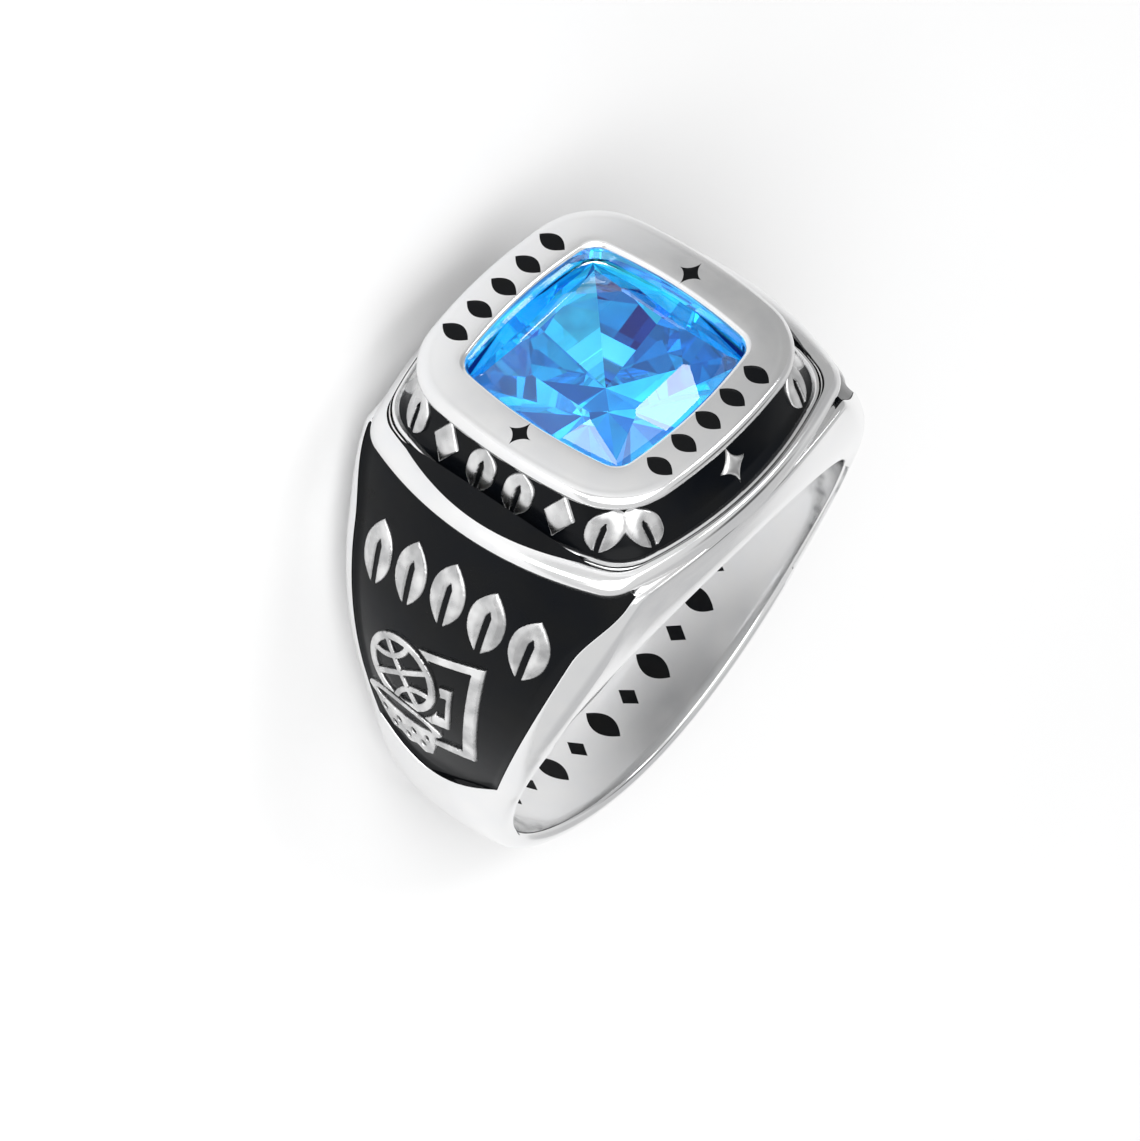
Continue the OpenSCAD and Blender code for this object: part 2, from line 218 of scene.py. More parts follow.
def mix(a, b, t):
    return a + (b - a) * t


def flare(a):
    """How far the band has widened, from 0 at the bottom to 1 at the head."""
    return ((1 + np.sin(np.radians(a))) / 2) ** FLARE_POWER


def rim_half(a):
    """Half width of the band at the finger hole."""
    return mix(BASE_W / 2, TOP_W / 2, flare(a))


def edge_half(a):
    """Half width of the band at its outer edge."""
    return rim_half(a) + SIDE_FLARE * mix(LOW_FLARE, 1, flare(a))


def edge_round(a):
    """Size of the rounding between the band's side and its face."""
    low = mix(BASE_ROUND, SHOULDER_ROUND, rise(a, *ROUND_GROWS))
    return mix(low, HEAD_ROUND, rise(a, *ROUND_SHRINKS))


def shoulder_r(a):
    """Radius of the band's face along its middle."""
    return BASE_R + (BEAD_R - BASE_R) * (np.maximum(a, 0) / BEAD_ANGLE) ** SHOULDER_POWER


def crowned_r(a, b):
    return shoulder_r(a) - b * b / (2 * CROWN_R)


def outer_r(a, b):
    """Radius of the band's face, which stays a little below the bead's lower edge from 40 degrees up."""
    under_bead = 0.3
    cap = (BEAD_Z - under_bead) / np.sin(np.radians(np.maximum(a, 30)))
    return np.where(a < 40, crowned_r(a, b), np.minimum(crowned_r(a, b), cap))


def panel_half(a):
    """Half width of the shoulder panel, just inside the edge's rounding."""
    return edge_half(a) - edge_round(a) * 0.98


def panel_foot(v):
    """Angle of the panel's lower border at a share of its half width."""
    return PANEL_LOW - PANEL_DIP * (1 - v * v)


def at(a, r, b):
    t = np.radians(a)
    return np.stack([r * np.cos(t), b + 0 * r, r * np.sin(t)], -1)


def panel_shift(s):
    """How far a row of the band dips at its middle, so that one row is the panel's bowed lower border."""
    dip_from = -40
    below = -PANEL_DIP * rise(s, dip_from, PANEL_LOW)
    inside = -PANEL_DIP * (1 - (s - PANEL_LOW) / (PANEL_TOP - PANEL_LOW))
    return np.where(s < PANEL_LOW, below, np.clip(inside, -PANEL_DIP, 0))


# The recess's rounded border: distance from the border, positive outside it, and share of the recess's depth
BORDER = [(0.07, 0), (0.04, 0.012), (0.015, 0.05), (0, 0.14), (-0.01, 0.85), (-0.03, 0.97), (-0.08, 1)]

# The finger hole's rounded edge: distance outside the hole, and distance in from the band's side
BORE_EDGE = [(0, 0.12), (0.015, 0.05), (0.05, 0.015)]


def band_section(s):
    """One closed section of the band, as points, at the angle s."""
    w = float(edge_half(s))
    c = float(outer_r(s, w))
    side_end = max(BORE_R + 0.05, c - float(edge_round(s)))
    hole = float(rim_half(s))
    ph = float(panel_half(s))
    border_out, border_in = BORDER[0][0], BORDER[-1][0]
    foot = 0.12
    side_share = 0.9
    side_foot = np.array([BORE_R + foot, mix(hole, w, foot * side_share / max(side_end - BORE_R, 0.2))])
    side_top = np.array([side_end, mix(hole, w, side_share)])
    if side_top[0] <= side_foot[0] + 0.05:
        side_foot = np.array([BORE_R + 0.07, hole])
    corner = np.array([c, w])
    bend_end = np.array([float(outer_r(s, ph + border_out)), ph + border_out])
    half = [(BORE_R, hole * t) for t in (0.25, 0.5, 0.75)]
    half += [(BORE_R + out, hole - back) for out, back in BORE_EDGE]
    half += [tuple(mix(side_foot, side_top, t)) for t in (0, 0.33, 0.66)]
    for t in np.linspace(0, 1, 13)[:-1]:
        half.append(tuple((1 - t) ** 2 * side_top + 2 * t * (1 - t) * corner + t * t * bend_end))
    points = [at(s, r, b) for r, b in half]
    row_depth = np.interp((s - PANEL_LOW) * np.pi / 180 * BASE_R, *border_curve())
    shift = float(panel_shift(s))
    face = [(ph + out, share) for out, share in BORDER]
    face += [((ph + border_in) * t, 1) for t in (0.9, 0.75, 0.6, 0.45, 0.3, 0.15, 0.0)]
    for b, share in face:
        v = min(abs(b) / ph, 1)
        a = s + shift * (1 - v * v)
        b = v * float(panel_half(a)) if v < 1 else b
        r = min(float(crowned_r(a, b)) - RECESS * min(row_depth, share), float(outer_r(a, b)))
        points.append(at(a, r, b))
    points = np.array(points)
    other = points[-2::-1] * [1, -1, 1]
    bore_middle = at(s, BORE_R, 0)[None]
    return np.concatenate([bore_middle, points, other])


def border_curve():
    """Depth share over the distance inside the border, for numpy's interp."""
    inside = [-out for out, share in BORDER]
    return inside, [share for out, share in BORDER]


def band_rows():
    """Angles of the band's rows from the bottom to the head, close together at the panel's lower border."""
    step = np.degrees(1 / BASE_R)
    detail = [PANEL_LOW - out * step for out, share in BORDER]
    gap = 0.9
    top_gap = 0.5
    low = np.linspace(-90, detail[0] - gap, 78)
    panel = np.linspace(detail[-1] + gap, PANEL_TOP - top_gap, 66)
    top = np.linspace(PANEL_TOP, 90, 20)
    return np.concatenate([low, detail, panel, top])


def make_band(material):
    right = [band_section(s) for s in band_rows()]
    left = [ring * [-1, 1, 1] for ring in right[-2:0:-1]]
    points, faces = loft(right + left, closed=True)
    return mesh_piece("ring_band", points, faces, material)


# Shape of the head

# Bows of the square outlines: radius of a side and of a corner, as shares of the half width
RIM_BOW = (3.6, 0.5)
LIP_BOW = (2.35, 0.3)
BEAD_BOW = (2.2, 0.22)
OPENING_BOW = (4.9, 0.2)

# Ends of the head's slanted wall: half width and height
WALL_TOP = (RIM_HALF - RIM_EDGE, HEAD_Z - RIM_T)
WALL_FOOT = (LIP_HALF - 0.15, LIP_Z)

# Foot of the head, hidden in the band and lower than the stone: height, and half widths along and across
HEAD_FOOT = [
    (GIRDLE_Z - GIRDLE_T - PAVILION_H - 0.35, BEAD_HALF - 1.5, SIDE_HALF - 1.2),
    (BEAD_Z - 0.75, BEAD_HALF - 0.35, SIDE_HALF - 0.06),
]

# Grooves and ridges between the bead and the lip: height above the lip, and reach past it along and across
GROOVES = [
    (-0.13, 0.31, 0.094),
    (-0.19, 0.28, 0.088),
    (-0.2, 0.255, 0.083),
    (-0.13, 0.23, 0.078),
    (-0.07, 0.2, 0.07),
    (-0.055, 0.17, 0.06),
    (-0.07, 0.14, 0.052),
    (-0.15, 0.118, 0.046),
    (-0.165, 0.1, 0.04),
    (-0.15, 0.085, 0.035),
    (-0.04, 0.06, 0.03),
    (0.02, 0.03, 0.015),
    (0.045, -0.02, -0.03),
    (0.045, -0.07, -0.08),
    (0.02, -0.11, -0.12),
]

# The rim's faint dome: half width, drop below the top, and share of the opening's bow
RIM_DOME = [(6.05, 0.024, 0.02), (5.9, 0.016, 0.05), (5.7, 0.009, 0.12), (5.4, 0.003, 0.3), (5.1, 0, 0.6)]

# The opening's rounded edge: distance outside the opening, drop below the top, and share of its bow
OPENING_EDGE = [(0.25, 0, 0.95), (0.19, 0.005, 1), (0.14, 0.025, 1), (0.07, 0.09, 1), (0.02, 0.16, 1),
                (0, 0.25, 1), (0, 0.5, 1)]


def corner_middle(h, side, corner):
    """Offset along both axes of the middle of a corner's arc that meets the arcs of the sides smoothly."""
    x = h - side
    return (x + np.sqrt(2 * (side - corner) ** 2 - x * x)) / 2


def cushion(h, side, corner, per_side=30, per_corner=16):
    """A square outline with bowed sides and rounded corners."""
    c = corner_middle(h, side, corner)
    reach = np.arctan2(c, c - h + side)
    t = mix(-reach, reach, np.arange(per_side) / per_side)
    u = mix(reach, np.pi / 2 - reach, np.arange(per_corner) / per_corner)
    x = np.concatenate([h - side + side * np.cos(t), c + corner * np.cos(u)])
    y = np.concatenate([side * np.sin(t), c + corner * np.sin(u)])
    turns = []
    for q in range(4):
        cq, sq = np.cos(q * np.pi / 2), np.sin(q * np.pi / 2)
        turns.append(np.stack([x * cq - y * sq, x * sq + y * cq], -1))
    return np.concatenate(turns)


def blend_bow(a, b, t):
    return mix(a[0], b[0], t), mix(a[1], b[1], t)


def level(z, along, across, bow):
    """A square outline at a height, with its half widths along and across."""
    flat = cushion(along, bow[0] * along, bow[1] * along)
    return np.column_stack([flat[:, 0], flat[:, 1] * across / along, np.full(len(flat), z)])


def seat_levels():
    """The stone's seat, from the opening down to its floor."""
    half = STONE_W / 2 + STONE_GAP
    floor_z = GIRDLE_Z - GIRDLE_T - PAVILION_H
    return [
        level(GIRDLE_Z + 3 * STONE_GAP, OPENING_W / 2, OPENING_W / 2, OPENING_BOW),
        level(GIRDLE_Z + 2 * STONE_GAP, half, half, OPENING_BOW),
        level(GIRDLE_Z - GIRDLE_T - STONE_GAP, half, half, OPENING_BOW),
        level(mix(floor_z, GIRDLE_Z, 0.45) - STONE_GAP, half * 0.66, half * 0.66, OPENING_BOW),
        level(floor_z - STONE_GAP, 0.35, 0.35, OPENING_BOW),
    ]


def head_levels():
    """The head from its foot up over the bead, the grooves, the wall and the rim, and down into the seat."""
    rings = [level(z, along, across, BEAD_BOW) for z, along, across in HEAD_FOOT]
    # Width and height of the bead's rounding, which ends a little below the lip
    round_half = (BEAD_HALF - LIP_HALF) * 0.72
    lift = BEAD_DROP - LIP_DROP - 0.1
    for t in np.radians(np.linspace(0, 90, 13)):
        along = BEAD_HALF - round_half * (1 - np.cos(t))
        across = mix(SIDE_HALF, LIP_HALF + 0.1, 1 - np.cos(t))
        rings.append(level(BEAD_Z + lift * np.sin(t), along, across, BEAD_BOW))
    for z, along, across in GROOVES:
        bow = blend_bow(LIP_BOW, BEAD_BOW, max(0, along - 0.1) / 0.25)
        rings.append(level(LIP_Z + z, LIP_HALF + along, LIP_HALF + across, bow))
    foot, top = WALL_FOOT[0] - RECESS, WALL_TOP[0] - RECESS
    rings.append(level(WALL_FOOT[1] - 0.1, foot, foot, LIP_BOW))
    rings.append(level(WALL_TOP[1], top, top, RIM_BOW))
    for t in np.radians(np.linspace(-90, 72, 19)):
        half = RIM_HALF - RIM_EDGE + RIM_EDGE * np.cos(t)
        rings.append(level(HEAD_Z - RIM_EDGE + RIM_EDGE * np.sin(t), half, half, RIM_BOW))
    for half, drop, t in RIM_DOME + [(OPENING_W / 2 + out, drop, t) for out, drop, t in OPENING_EDGE]:
        rings.append(level(HEAD_Z - drop, half, half, blend_bow(RIM_BOW, OPENING_BOW, t)))
    return rings + seat_levels()


def make_head(material):
    points, faces = loft(head_levels())
    return mesh_piece("ring_head", points, faces, material)


# Flat motifs

# A motif is a list of shapes in mm. A shape is what lies in all its first outlines and in none of its others


def resampled(poly, step):
    poly = np.asarray(poly, float)
    out = []
    for p, q in zip(poly, np.roll(poly, -1, axis=0)):
        n = max(1, int(np.ceil(np.linalg.norm(q - p) / step)))
        out += [mix(p, q, i / n) for i in range(n)]
    return np.array(out)


def distance(points, poly):
    """Distance to an outline, positive inside it."""
    a, b = poly, np.roll(poly, -1, axis=0)
    d = b - a
    rel = points[:, None] - a[None]
    t = np.clip((rel * d).sum(-1) / np.maximum((d * d).sum(-1), 1e-12), 0, 1)
    near = np.linalg.norm(rel - t[..., None] * d, axis=-1).min(1)
    y = points[:, 1:2]
    crosses = (a[:, 1] > y) != (b[:, 1] > y)
    slope = np.where(np.abs(d[:, 1]) < 1e-12, 1e-12, d[:, 1])
    x = a[:, 0] + (y - a[:, 1]) * d[:, 0] / slope
    odd = (crosses & (points[:, 0:1] < x)).sum(1) % 2 == 1
    return np.where(odd, near, -near)


def shape_distance(points, shape):
    ins, outs = shape
    return np.min([distance(points, p) for p in ins] + [-distance(points, p) for p in outs], axis=0)


def circle(middle, r, n=40, squash=1.0):
    t = np.arange(n) * 2 * np.pi / n
    return np.column_stack([middle[0] + r * np.cos(t), middle[1] + r * squash * np.sin(t)])


def stroke(p, q, w):
    p, q = np.array(p, float), np.array(q, float)
    d = (q - p) / np.linalg.norm(q - p)
    n = np.array([-d[1], d[0]]) * w / 2
    return np.array([p - n, q - n, q + n, p + n])


def leaf(w, h, slit, full=2.0):
    """A pointed leaf, slit from its foot along the vein; its sides are rounder with a larger full."""
    t = np.linspace(-1, 1, 14, endpoint=False)
    side = np.column_stack([w / 2 * (1 - np.abs(t) ** full), h / 2 * t])
    outs = []
    if slit:
        half, foot, top = slit / 2, -h / 2 - slit, 0.1 * h
        outs.append(np.array([[-half, foot], [half, foot], [half, top], [0, top + slit], [-half, top]]))
    return [([np.concatenate([side, -side])], outs)]


def lozenge(w, h):
    return [([np.array([[w / 2, 0], [0, h / 2], [-w / 2, 0], [0, -h / 2]])], [])]


def star(r, thin):
    """A star of four points, with sides more hollow with a larger thin."""
    n = 12
    t = np.arange(4 * n) * np.pi / 2 / n
    c, s = np.cos(t), np.sin(t)
    x = 0.8 * np.sign(c) * np.abs(c) ** thin
    y = np.sign(s) * np.abs(s) ** thin
    return [([r * np.column_stack([x, y])], [])]


def ball_and_hoop(size):
    """A ball falling into a hoop with its net, in front of a backboard, drawn one unit high."""
    line = 0.056
    ball, ball_r = np.array([-0.11, 0.085]), 0.27
    hoop, hoop_r = np.array([-0.1, -0.24]), 0.3
    frame_out = np.array([[0, 0.37], [0.46, 0.5], [0.43, -0.3], [0.1, -0.36]])
    frame_in = np.array([[0.09, 0.33], [0.375, 0.41], [0.345, -0.25], [0.16, -0.3]])
    target = np.array([[0.12, 0.17], [0.27, 0.21], [0.26, -0.13], [0.14, -0.16]])
    clear = circle(ball, ball_r + line * 0.6)
    rim = circle(hoop, hoop_r, squash=0.26)
    rim_clear = circle(hoop, hoop_r + line * 0.7, squash=0.3)
    mouth = circle(hoop, hoop_r - line * 1.3, squash=0.2)
    net = np.array([[-0.36, -0.255], [0.16, -0.255], [0.15, -0.36], [0.12, -0.47], [0.06, -0.5],
                    [0.0, -0.47], [-0.06, -0.5], [-0.13, -0.46], [-0.2, -0.47], [-0.29, -0.37]])
    upper_holes = [(-0.26, -0.345), (-0.14, -0.36), (-0.02, -0.36), (0.09, -0.345)]
    lower_holes = [(-0.18, -0.425), (-0.07, -0.435), (0.05, -0.42)]
    shapes = [
        ([frame_out], [frame_in, clear, rim_clear]),
        ([target], [mix(target.mean(0), target, 0.5), clear, rim_clear]),
        ([circle(ball, ball_r)], [circle(ball, ball_r - line), rim_clear]),
        ([rim], [mouth]),
        ([net], [circle(hole, 0.02, 8, 1.3) for hole in upper_holes + lower_holes] + [mouth]),
    ]
    inner = circle(ball, ball_r - line * 0.5)
    for a in np.radians([35, 125]):
        d = np.array([np.cos(a), np.sin(a)]) * ball_r
        shapes.append(([stroke(ball - d, ball + d, line * 0.75), inner], [rim_clear]))
    a = np.radians(35)
    seam_r = 0.25
    for s in (-1, 1):
        c = ball + s * 0.36 * np.array([-np.sin(a), np.cos(a)])
        outs = [circle(c, seam_r - line * 0.38), rim_clear]
        shapes.append(([circle(c, seam_r + line * 0.38), inner], outs))
    return [([size * p for p in ins], [size * p for p in outs]) for ins, outs in shapes]


def flat_mesh(shapes, step, offsets):
    """Triangles that fill the shapes, and the distance of each point from the outline of each shape."""
    outlines = [resampled(p, step) for ins, outs in shapes for p in ins + outs]
    points, edges = [], []
    for p in outlines:
        n = len(points)
        points += list(p)
        edges += [(n + i, n + (i + 1) % len(p)) for i in range(len(p))]
    border = np.array(points)
    lo, hi = border.min(0), border.max(0)
    rows = np.stack(np.meshgrid(np.arange(lo[0], hi[0], step), np.arange(lo[1], hi[1], step * 0.87)), -1)
    rows[1::2, :, 0] += step / 2
    extra = [rows.reshape(-1, 2)]
    for out in offsets:
        for p in outlines:
            d = np.roll(p, -1, axis=0) - np.roll(p, 1, axis=0)
            n = np.column_stack([-d[:, 1], d[:, 0]]) / np.maximum(np.linalg.norm(d, axis=1), 1e-9)[:, None]
            extra += [p + n * out, p - n * out]
    extra = np.concatenate(extra)
    far = np.max([shape_distance(extra, s) for s in shapes], axis=0)
    cells = {}
    for p in extra[far > min(offsets) * 0.8]:
        cells.setdefault(tuple(np.round(p / (step * 0.35)).astype(int)), p)
    points += list(cells.values())
    verts, _, faces, _, _, _ = delaunay_2d_cdt([Vector(p) for p in points], edges, [], 0, 1e-5)
    verts = np.array([tuple(v) for v in verts])
    faces = np.array([f for f in faces if len(f) == 3])
    middle = verts[faces].mean(1)
    faces = faces[np.max([shape_distance(middle, s) for s in shapes], axis=0) > 0]
    used = np.unique(faces)
    order = np.full(len(verts), -1)
    order[used] = np.arange(len(used))
    verts, faces = verts[used], order[faces]
    return verts, faces, np.array([shape_distance(verts, s) for s in shapes])


def relief(name, shapes, place, material, slot, step=0.11, edge=0.09, top=0.0, low=0.1, foot=0.45, crown=0.0,
           crown_reach=0.4):
    """Stands a motif on a surface: place(flat points, depths) gives points.

    Depths are below the metal's face. The motif's face is at the depth top, rounded over the width edge down
    to low at its outline, and its foot is at foot. A crown lowers the face towards the outline, over the
    width crown_reach.
    """
    verts, faces, dist = flat_mesh(shapes, step, (edge * 0.3, edge * 0.75))
    rounded = 1 - np.sqrt(np.clip(1 - (1 - np.clip(dist / edge, 0, 1)) ** 2, 0, 1))
    pillow = np.clip(dist / crown_reach, 0, 1)
    depth = (top + (low - top) * rounded + crown * (1 - pillow * (2 - pillow))).min(0)
    n = len(verts)
    sides = dict.fromkeys((int(f[i]), int(f[(i + 1) % 3])) for f in faces for i in range(3))
    rim = [(a, b) for a, b in sides if (b, a) not in sides]
    points = np.concatenate([place(verts, depth), place(verts, np.full(n, foot))])
    every = [tuple(f) for f in faces] + [tuple(f[::-1] + n) for f in faces]
    every += [(a, a + n, b + n, b) for a, b in rim]
    return mesh_piece(name, points, every, material, smooth=50, slot=slot)


# Places of the motifs


def on_band(a0, b0, turn, half_turn):
    """Where a flat motif stands on the band, its middle at an angle and an offset."""
    c, s = np.cos(np.radians(turn)), np.sin(np.radians(turn))

    def place(flat, depth):
        x = flat[:, 0] * c - flat[:, 1] * s
        y = flat[:, 0] * s + flat[:, 1] * c
        b = b0 + x
        a = np.full(len(flat), float(a0))
        for _ in range(4):
            a = a0 + np.degrees(np.arcsin(np.clip(y / crowned_r(a, b), -1, 1)))
        p = at(a, crowned_r(a, b) - depth, b)
        return p * [-1, -1, 1] if half_turn else p

    return place


# The wall's motifs: share of their height that is left, and how far they sit below the wall's middle
WALL_SQUASH = 0.89
WALL_SINK = 0.06

# Cosine and sine of the turn to each side of the head
SIDE_TURNS = [(1, 0), (0, 1), (-1, 0), (0, -1)]


def on_wall(side, s0):
    """Where a flat motif stands on one side of the head's wall, s0 along it from the side's middle."""
    mid = (WALL_FOOT[1] + WALL_TOP[1]) / 2

    def place(flat, depth):
        z = mid - WALL_SINK + flat[:, 1] * WALL_SQUASH
        t = (z - WALL_FOOT[1]) / (WALL_TOP[1] - WALL_FOOT[1])
        h = mix(WALL_FOOT[0], WALL_TOP[0], t) - depth
        side_r = mix(LIP_BOW[0], RIM_BOW[0], t) * h
        corner_r = mix(LIP_BOW[1], RIM_BOW[1], t) * h
        u = side_r * np.sin((s0 + flat[:, 0]) / side_r)
        c = corner_middle(h, side_r, corner_r)
        reach = side_r * np.sin(np.arctan2(c, c - h + side_r))
        on_side = h - side_r + np.sqrt(side_r ** 2 - u ** 2)
        on_corner = c + np.sqrt(np.maximum(corner_r ** 2 - (np.abs(u) - c) ** 2, 0))
        x = np.where(np.abs(u) < reach, on_side, on_corner)
        cq, sq = SIDE_TURNS[side]
        return np.column_stack([x * cq - u * sq, x * sq + u * cq, z])

    return place


def on_rim(side, along):
    """Where a flat mark lies on the rim; depth is below the top face."""
    mid = (OPENING_W / 2 + RIM_HALF - RIM_EDGE) / 2

    def place(flat, depth):
        x, y = mid - flat[:, 1], along + flat[:, 0]
        cq, sq = SIDE_TURNS[side]
        return np.column_stack([x * cq - y * sq, x * sq + y * cq, HEAD_Z - depth])

    return place


def in_bore(a0, b0):
    """Where a flat mark lies in the finger hole; depth is into the metal."""

    def place(flat, depth):
        return at(a0 + np.degrees(flat[:, 0] / BORE_R), BORE_R + depth, b0 + flat[:, 1])

    return place


# Stone

# Spine of a side of the pavilion: share of the half width, and share of the depth
CHEVRONS = [(1.0, 0.0), (0.7, 0.4), (0.0, 1.0)]

# Rises of the crown's facets in degrees: in a side's middle, beside it, and in a corner
MIDDLE_TILT = 33
BESIDE_TILT = 38
CORNER_TILT = 24
BESIDE_TURN = 14


def polar(azimuth, reach, z):
    return np.array([np.cos(np.radians(azimuth)) * reach, np.sin(np.radians(azimuth)) * reach, z])


def facet(azimuth, tilt, reach, z):
    """A facet's plane through the point at this reach and height; tilt is its rise from flat."""
    t = np.radians(tilt)
    return polar(azimuth, np.sin(t), np.cos(t)), polar(azimuth, reach, z)


def stone_facets():
    """The planes of the stone, each as its outward direction and one of its points."""
    h = STONE_W / 2
    under = GIRDLE_Z - GIRDLE_T
    outline = cushion(h, OPENING_BOW[0] * h, OPENING_BOW[1] * h, 5, 4)
    corner = np.linalg.norm(outline, axis=1).max() * 0.985
    facets = [facet(0, 0, 0, GIRDLE_Z + CROWN_H)]
    for p, q in zip(outline, np.roll(outline, -1, axis=0)):
        n = np.array([q[1] - p[1], p[0] - q[0], 0]) / np.linalg.norm(q - p)
        facets.append((n, np.array([*p, under])))
    for side in (0, 90, 180, 270):
        facets.append(facet(side, MIDDLE_TILT, h, GIRDLE_Z))
        facets.append(facet(side + 45, CORNER_TILT, corner, GIRDLE_Z))
        for s in (-1, 1):
            facets.append(facet(side + s * BESIDE_TURN, BESIDE_TILT, h * 1.01, GIRDLE_Z))
            tip = polar(side + 45 * s, corner, under)
            spine = [polar(side, h * r, under - PAVILION_H * drop) for r, drop in CHEVRONS]
            for p, q in zip(spine, spine[1:]):
                n = np.cross(p - tip, q - tip)
                facets.append((n * -np.sign(n[2]) / np.linalg.norm(n), tip))
    return facets


def meeting_points(normals, reach):
    """The corners of the solid that lies under all the planes: the points where three of them meet."""
    threes = np.array(list(combinations(range(len(normals)), 3)))
    threes = threes[np.abs(np.linalg.det(normals[threes])) > 1e-6]
    met = np.linalg.solve(normals[threes], reach[threes][..., None])[..., 0]
    met = met[(met @ normals.T <= reach + 1e-7).all(1)]
    points = []
    for p in met:
        if not points or np.linalg.norm(np.array(points) - p, axis=1).min() > 1e-4:
            points.append(p)
    return np.array(points)


def make_stone(material, backs):
    """The stone, one polygon a facet. Those of its back take the materials in backs by turns."""
    facets = stone_facets()
    normals = np.array([n for n, p in facets])
    reach = np.array([np.dot(n, p) for n, p in facets])
    points = meeting_points(normals, reach)
    faces = []
    for n, d in zip(normals, reach):
        on = np.flatnonzero(np.abs(points @ n - d) < 1e-4)
        if len(on) > 2:
            across = np.cross(n, [1, 0, 0] if abs(n[0]) < 0.9 else [0, 1, 0])
            rel = points[on] - points[on].mean(0)
            faces.append(on[np.argsort(np.arctan2(rel @ np.cross(n, across), rel @ across))])
    piece = mesh_piece("stone_cut", points, faces, material, slot="stone")
    for back in backs:
        piece.data.materials.append(back)
    # The back's facets take the painted glows by turns, so that they show as painted lit and dark facets
    for polygon in piece.data.polygons:
        x, y, z = from_row(polygon.center)
        if z < GIRDLE_Z - GIRDLE_T - 0.01:
            inner = z < GIRDLE_Z - 0.4 * PAVILION_H
            eighth = int(np.degrees(np.arctan2(y, x)) % 360 // 45)
            polygon.material_index = 1 + (eighth * 2 + inner) % len(backs)
    return piece


# Materials


def new_material(name):
    material = bpy.data.materials.new(name)
    material.use_nodes = True
    nodes, links = material.node_tree.nodes, material.node_tree.links
    return material, nodes, links, nodes["Principled BSDF"]


def noise(nodes, links, scale, detail=3, stretch=(1, 1, 1)):
    coordinates = nodes.new("ShaderNodeTexCoord")
    mapping = nodes.new("ShaderNodeMapping")
    mapping.inputs["Scale"].default_value = stretch
    texture = nodes.new("ShaderNodeTexNoise")
    texture.inputs["Scale"].default_value = scale
    texture.inputs["Detail"].default_value = detail
    links.new(coordinates.outputs["Object"], mapping.inputs["Vector"])
    links.new(mapping.outputs["Vector"], texture.inputs["Vector"])
    return texture.outputs["Fac"]


def ramp(nodes, links, source, stops):
    """A ramp over the source; a stop is a place and a grey or a colour."""
    node = nodes.new("ShaderNodeValToRGB")
    while len(node.color_ramp.elements) < len(stops):
        node.color_ramp.elements.new(0.5)
    for element, (place, value) in zip(node.color_ramp.elements, stops):
        element.position = place
        element.color = (*value, 1) if isinstance(value, tuple) else (value, value, value, 1)
    links.new(source, node.inputs["Fac"])
    return node.outputs["Color"]


def bump(nodes, links, shader, heights):
    """Adds bumps to a shader: each is a height, a strength and a distance in mm."""
    before = None
    for height, strength, dist in heights:
        node = nodes.new("ShaderNodeBump")
        node.inputs["Strength"].default_value = strength
        node.inputs["Distance"].default_value = dist * MM
        links.new(height, node.inputs["Height"])
        if before:
            links.new(before, node.inputs["Normal"])
        before = node.outputs["Normal"]
    links.new(before, shader.inputs["Normal"])


def silver(name, rough, tone, groove_shade, reach=0.35, cloud_and_painted_shading=0.015):
    """Silver: clouding and fine scratches, with painted shade where the metal is hidden in a groove.

    The cloud's dark is dimmer than the tone by the share uneven: random clouding when small, painted patchy
    shading when large.
    Painted shade: patina is what is left of the colour within the distance reach of other metal, in mm.
    """
    material, nodes, links, shader = new_material(name)
    shader.inputs["Metallic"].default_value = 1
    cloud = noise(nodes, links, 900, 2)
    dullness = ramp(nodes, links, cloud, [(0.3, rough * 0.8), (0.7, rough * 1.25)])
    links.new(dullness, shader.inputs["Roughness"])
    # Darker patches of the cloud: random clouding where uneven is small, painted patchy shading where it is
    # large
    dim = tone * (1 - cloud_and_painted_shading)
    light = ramp(nodes, links, cloud, [(0.35, (dim * 0.985, dim * 0.99, dim)), (0.65, (tone,) * 3)])
    # Painted shade: ambient occlusion darkens the colour in grooves and creases
    hidden = nodes.new("ShaderNodeAmbientOcclusion")
    hidden.samples = 8
    hidden.only_local = True
    hidden.inputs["Distance"].default_value = reach * MM
    dark = ramp(nodes, links, hidden.outputs["AO"], [(0.25, groove_shade), (0.75, 1.0)])
    both = nodes.new("ShaderNodeMix")
    both.data_type = "RGBA"
    both.blend_type = "MULTIPLY"
    both.inputs["Factor"].default_value = 1
    links.new(light, both.inputs["A"])
    links.new(dark, both.inputs["B"])
    links.new(both.outputs["Result"], shader.inputs["Base Color"])
    scratches = noise(nodes, links, 9000, 2, (1, 0.15, 0.4))
    ripple = noise(nodes, links, 350, 1)
    bump(nodes, links, shader, [(ripple, 0.25, 0.02), (scratches, 0.12, 0.004)])
    return material


def enamel(name, base, rough):
    """Black enamel: a faint cloud of colour, a slow ripple and a fine grain."""
    material, nodes, links, shader = new_material(name)
    cloud = noise(nodes, links, 500, 3)
    cool = (base * 0.7, base, base * 1.6)
    pale = (base * 1.3, base * 1.4, base * 1.5)
    links.new(ramp(nodes, links, cloud, [(0.3, cool), (0.7, pale)]), shader.inputs["Base Color"])
    dullness = ramp(nodes, links, cloud, [(0.3, rough * 0.8), (0.7, rough * 1.4)])
    links.new(dullness, shader.inputs["Roughness"])
    shader.inputs["Specular IOR Level"].default_value = 0.12
    ripple = noise(nodes, links, 420, 2)
    grain = noise(nodes, links, 7000, 2)
    bump(nodes, links, shader, [(ripple, 0.35, 0.06), (grain, 0.06, 0.004)])
    return material


